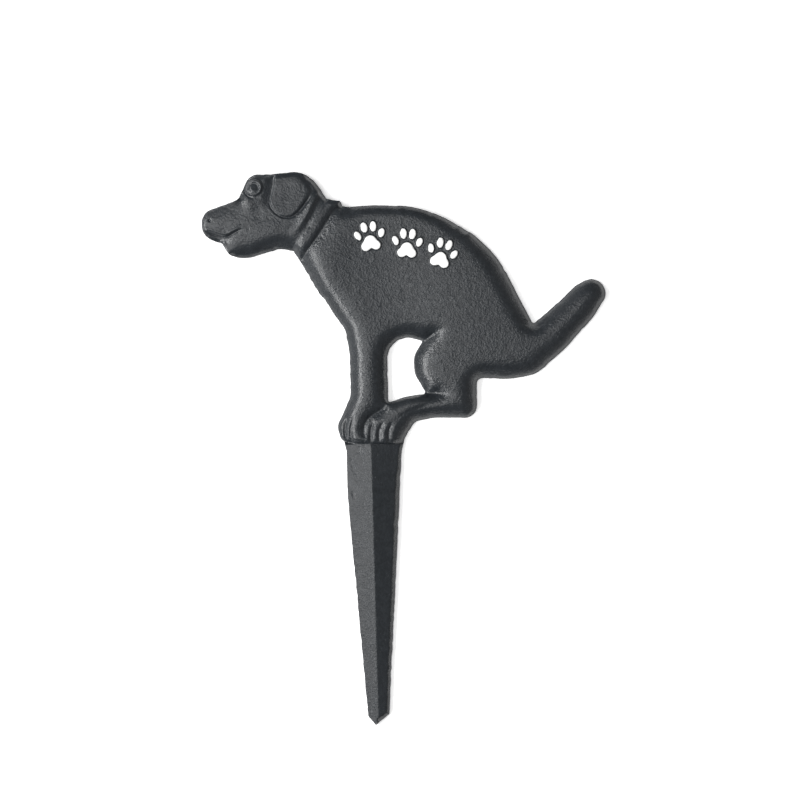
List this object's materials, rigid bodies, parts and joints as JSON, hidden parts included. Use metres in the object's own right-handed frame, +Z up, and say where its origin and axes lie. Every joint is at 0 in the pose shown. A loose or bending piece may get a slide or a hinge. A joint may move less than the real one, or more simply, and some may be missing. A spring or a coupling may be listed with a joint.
{
  "type": "no dog fouling sign",
  "caption": "Flat cast-iron garden sign: a crouching dog in low relief with raised marks on its flank, on a tapered ridged spike for the lawn.",
  "frame": {"origin": "centre of the spike's top on the line of the paws' soles, in the plane of the flat back", "axes": "+Z up along the spike, +X across towards the dog's tail, -Y out of the front face"},
  "size_m": [0.1973, 0.0079, 0.27],
  "materials": {
    "black_iron": "satin black paint over a fine sand-cast grain",
    "white_paint": "hand-painted white enamel on the raised marks"
  },
  "bodies": {
    "root": {"dog_stake_casting": "black_iron"}
  },
  "joints": []
}
